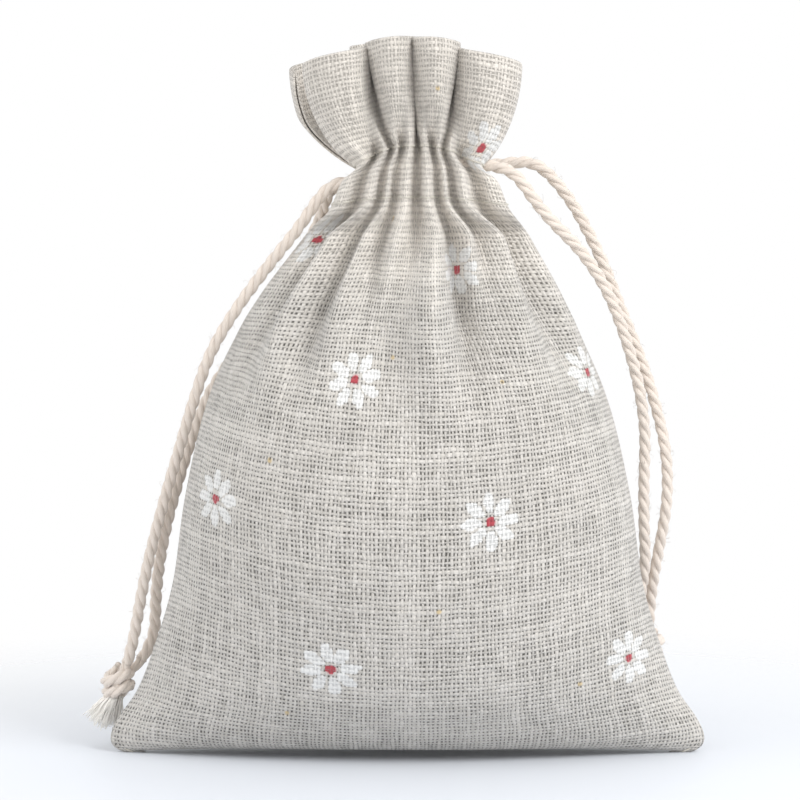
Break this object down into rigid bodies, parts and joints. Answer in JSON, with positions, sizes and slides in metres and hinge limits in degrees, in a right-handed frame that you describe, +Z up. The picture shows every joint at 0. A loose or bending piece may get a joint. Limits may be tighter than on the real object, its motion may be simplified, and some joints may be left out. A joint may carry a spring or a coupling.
{
  "type": "drawstring gift sack",
  "caption": "Small filled drawstring sack of open-weave cloth, gathered at the neck under a frill by two knotted twisted cords.",
  "frame": {"origin": "on the surface that the sack stands on, under the middle of its bottom fold", "axes": "+Z up, -Y out of the front, +X to the viewer's right when facing the front"},
  "size_m": [0.1043, 0.051, 0.1193],
  "materials": {
    "cloth": "open plain weave of natural linen and cotton, matt, printed with small white daisies",
    "thread": "matt cotton sewing thread",
    "cord": "three-ply twisted cotton cord, matt and slightly hairy",
    "cord_fibre": "loose frayed cotton fibre"
  },
  "bodies": {
    "sack": {"front_panel": "cloth", "back_panel": "cloth", "bottom_fold": "cloth", "left_side_seam": "cloth", "right_side_seam": "cloth", "left_seam_stitches": "thread", "right_seam_stitches": "thread", "front_casing": "cloth", "back_casing": "cloth", "front_facing": "cloth", "back_facing": "cloth", "front_lower_stitches": "thread", "front_upper_stitches": "thread", "back_lower_stitches": "thread", "back_upper_stitches": "thread", "left_cord_run": "cord", "right_cord_run": "cord"},
    "front_frill_flap": {"front_frill": "cloth"},
    "back_frill_flap": {"back_frill": "cloth"},
    "left_cord_slider": {"left_cord_stubs": "cord"},
    "left_cord_loop": {"left_front_strand": "cord", "left_back_strand": "cord", "left_knot": "cord", "left_cord_ends": "cord_fibre"},
    "right_cord_slider": {"right_cord_stubs": "cord"},
    "right_cord_loop": {"right_front_strand": "cord", "right_back_strand": "cord", "right_knot": "cord", "right_cord_ends": "cord_fibre"}
  },
  "joints": [
    {"name": "front_frill_lean", "type": "hinge", "parent": "sack", "child": "front_frill_flap", "pos_m": [0.002, -0.005, 0.1022], "axis": [1, 0, 0], "range_deg": [-8, 40], "stiffness_Nm_per_rad": 0.004},
    {"name": "back_frill_lean", "type": "hinge", "parent": "sack", "child": "back_frill_flap", "pos_m": [0.002, 0.005, 0.1022], "axis": [-1, 0, 0], "range_deg": [-8, 40], "stiffness_Nm_per_rad": 0.004},
    {"name": "left_cord_pull", "type": "slide", "parent": "sack", "child": "left_cord_slider", "axis": [-1, 0, 0], "range_m": [0, 0.006]},
    {"name": "left_cord_swing", "type": "hinge", "parent": "left_cord_slider", "child": "left_cord_loop", "pos_m": [-0.0125, 0, 0.0956], "axis": [0, 1, 0], "range_deg": [0, 100]},
    {"name": "right_cord_pull", "type": "slide", "parent": "sack", "child": "right_cord_slider", "axis": [1, 0, 0], "range_m": [0, 0.006]},
    {"name": "right_cord_swing", "type": "hinge", "parent": "right_cord_slider", "child": "right_cord_loop", "pos_m": [0.0165, 0, 0.0982], "axis": [0, -1, 0], "range_deg": [0, 75]}
  ]
}
